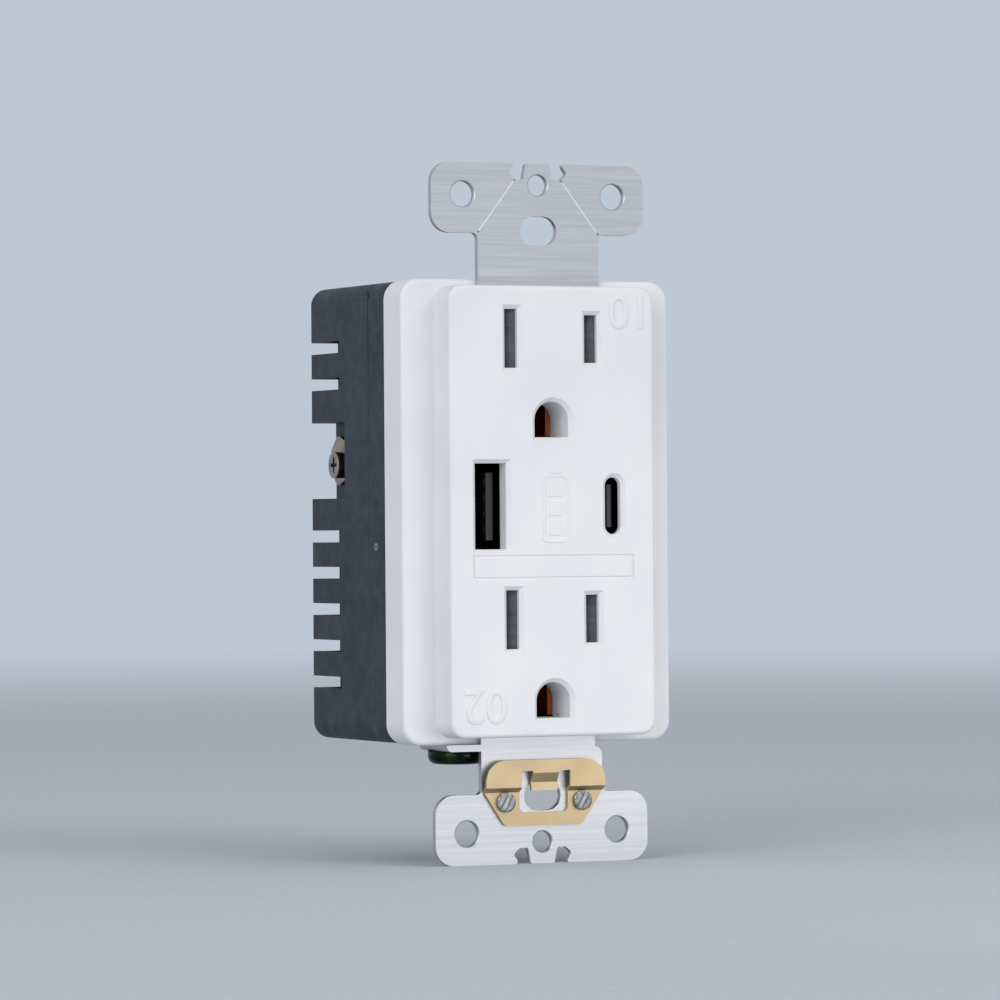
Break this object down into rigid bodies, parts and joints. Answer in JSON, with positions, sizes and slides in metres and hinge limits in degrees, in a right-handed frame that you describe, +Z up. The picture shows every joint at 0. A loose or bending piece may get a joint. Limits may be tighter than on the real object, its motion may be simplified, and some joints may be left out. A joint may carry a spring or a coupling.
{
  "type": "usb wall socket",
  "caption": "Duplex wall receptacle with a large and a small USB charging port, a white raised face, a steel mounting strap and a dark vented housing with side terminals",
  "frame": {"origin": "middle of the mounting strap's front face, at the centre of the cover-plate screw pattern", "axes": "+X right seen from the room, +Y into the wall, +Z up"},
  "size_m": [0.0436, 0.041, 0.1032],
  "materials": {
    "white_polycarbonate": "fine moulded satin, white",
    "charcoal_polycarbonate": "moulded satin, dark slate grey",
    "shutter_acetal": "moulded, dark grey",
    "brushed_steel": "brushed along X, bright edges",
    "plain_steel": "zinc plated",
    "green_steel": "dark green dye on zinc",
    "spring_brass": "pale brass sheet",
    "contact_copper": "copper strip",
    "port_steel": "nickel plated shell",
    "port_plastic": "black moulding",
    "gilt_strip": "gold flash",
    "board_laminate": "green laminate",
    "ferrite": "grey ferrite",
    "winding_tape": "yellow tape",
    "capacitor_sleeve": "dark sleeve on an aluminium can",
    "fuse_sleeve": "brown cap",
    "chip_epoxy": "black epoxy",
    "pressed_board": "grey pressed board"
  },
  "bodies": {
    "root": {"mounting_strap": "brushed_steel", "ground_clip": "spring_brass", "clip_rivets": "plain_steel", "upper_ground_contact": "contact_copper", "lower_ground_contact": "contact_copper", "neutral_bus": "spring_brass", "hot_bus": "spring_brass", "face_cover": "white_polycarbonate", "front_frame": "white_polycarbonate", "middle_housing": "charcoal_polycarbonate", "rear_housing": "charcoal_polycarbonate", "upper_shutter_tray": "shutter_acetal", "lower_shutter_tray": "shutter_acetal", "upper_shutter_spring": "plain_steel", "lower_shutter_spring": "plain_steel", "usb_a_shell": "port_steel", "usb_a_tongue": "port_plastic", "usb_a_contacts": "gilt_strip", "usb_c_shell": "port_steel", "usb_c_tongue": "port_plastic", "usb_board": "board_laminate", "power_board": "board_laminate", "link_pins": "gilt_strip", "insulating_sheet": "pressed_board", "transformer_core": "ferrite", "transformer_winding": "winding_tape", "bulk_capacitors": "capacitor_sleeve", "output_capacitors": "capacitor_sleeve", "board_chips": "chip_epoxy", "fuse": "fuse_sleeve", "assembly_screws": "plain_steel"},
    "upper_shutter": {"upper_shutter": "shutter_acetal"},
    "lower_shutter": {"lower_shutter": "shutter_acetal"},
    "neutral_clamp": {"neutral_clamp": "plain_steel"},
    "neutral_screw": {"neutral_screw": "plain_steel"},
    "hot_clamp": {"hot_clamp": "plain_steel"},
    "hot_screw": {"hot_screw": "plain_steel"},
    "ground_screw": {"ground_screw": "green_steel"}
  },
  "joints": [
    {"name": "upper_shutter_slide", "type": "slide", "parent": "root", "child": "upper_shutter", "axis": [1, 0, 0], "range_m": [0, 0.0027], "stiffness_N_per_m": 120, "springref_m": -0.0015, "deforming": ["upper_shutter_spring"]},
    {"name": "lower_shutter_slide", "type": "slide", "parent": "root", "child": "lower_shutter", "axis": [1, 0, 0], "range_m": [0, 0.0027], "stiffness_N_per_m": 120, "springref_m": -0.0015, "deforming": ["lower_shutter_spring"]},
    {"name": "neutral_clamp_slide", "type": "slide", "parent": "root", "child": "neutral_clamp", "axis": [-1, 0, 0], "range_m": [0, 0.00238]},
    {"name": "neutral_screw_turn", "type": "hinge", "parent": "neutral_clamp", "child": "neutral_screw", "pos_m": [-0.0206, 0.0285, 0.00755], "axis": [-1, 0, 0], "range_deg": [0, 1090]},
    {"name": "hot_clamp_slide", "type": "slide", "parent": "root", "child": "hot_clamp", "axis": [1, 0, 0], "range_m": [0, 0.00238]},
    {"name": "hot_screw_turn", "type": "hinge", "parent": "hot_clamp", "child": "hot_screw", "pos_m": [0.0206, 0.0285, 0.00755], "axis": [1, 0, 0], "range_deg": [0, 1090]},
    {"name": "ground_screw_turn", "type": "hinge", "parent": "root", "child": "ground_screw", "pos_m": [-0.0109, 0.0064, -0.0349], "axis": [0, 0, -1], "range_deg": [0, 1080]}
  ],
  "couplings": [
    {"joint": "neutral_screw_turn", "follows": "neutral_clamp_slide", "rad_per_m": 7913},
    {"joint": "hot_screw_turn", "follows": "hot_clamp_slide", "rad_per_m": 7913}
  ]
}
